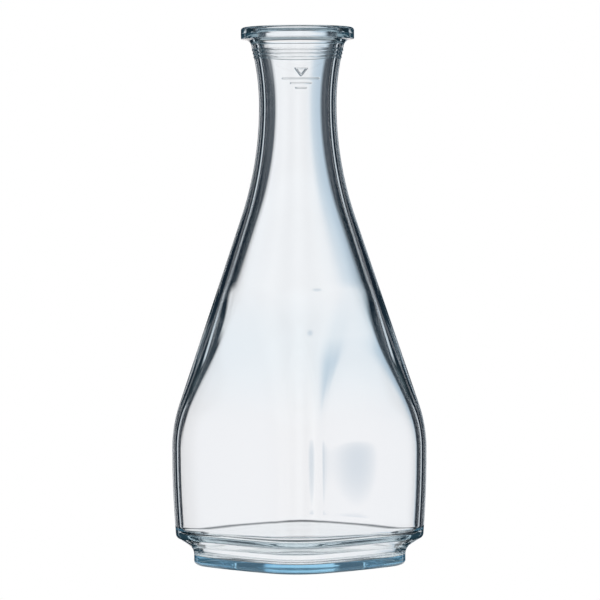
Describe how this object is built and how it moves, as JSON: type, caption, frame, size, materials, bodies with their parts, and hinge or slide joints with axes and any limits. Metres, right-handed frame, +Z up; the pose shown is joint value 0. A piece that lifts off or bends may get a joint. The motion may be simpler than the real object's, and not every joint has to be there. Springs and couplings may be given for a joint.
{
  "type": "square carafe",
  "caption": "Clear glass one-litre carafe: round flanged mouth and slim neck flaring into a rounded square body on a stepped foot, with a raised fill mark.",
  "frame": {"origin": "middle of the footprint, on the plane the foot stands on", "axes": "+Z up along the neck's axis; the four flat sides face +X, -X, +Y and -Y; the raised fill mark is on the neck over the corner between +X and -Y"},
  "size_m": [0.0988, 0.0988, 0.2525],
  "materials": {
    "clear_glass": "polished clear soda-lime glass, fire-smooth"
  },
  "bodies": {
    "root": {"mouth_flange": "clear_glass", "neck_rings": "clear_glass", "neck": "clear_glass", "flare": "clear_glass", "shoulder": "clear_glass", "body_wall": "clear_glass", "heel": "clear_glass", "foot": "clear_glass", "base_plate": "clear_glass", "fill_mark": "clear_glass"}
  },
  "joints": []
}
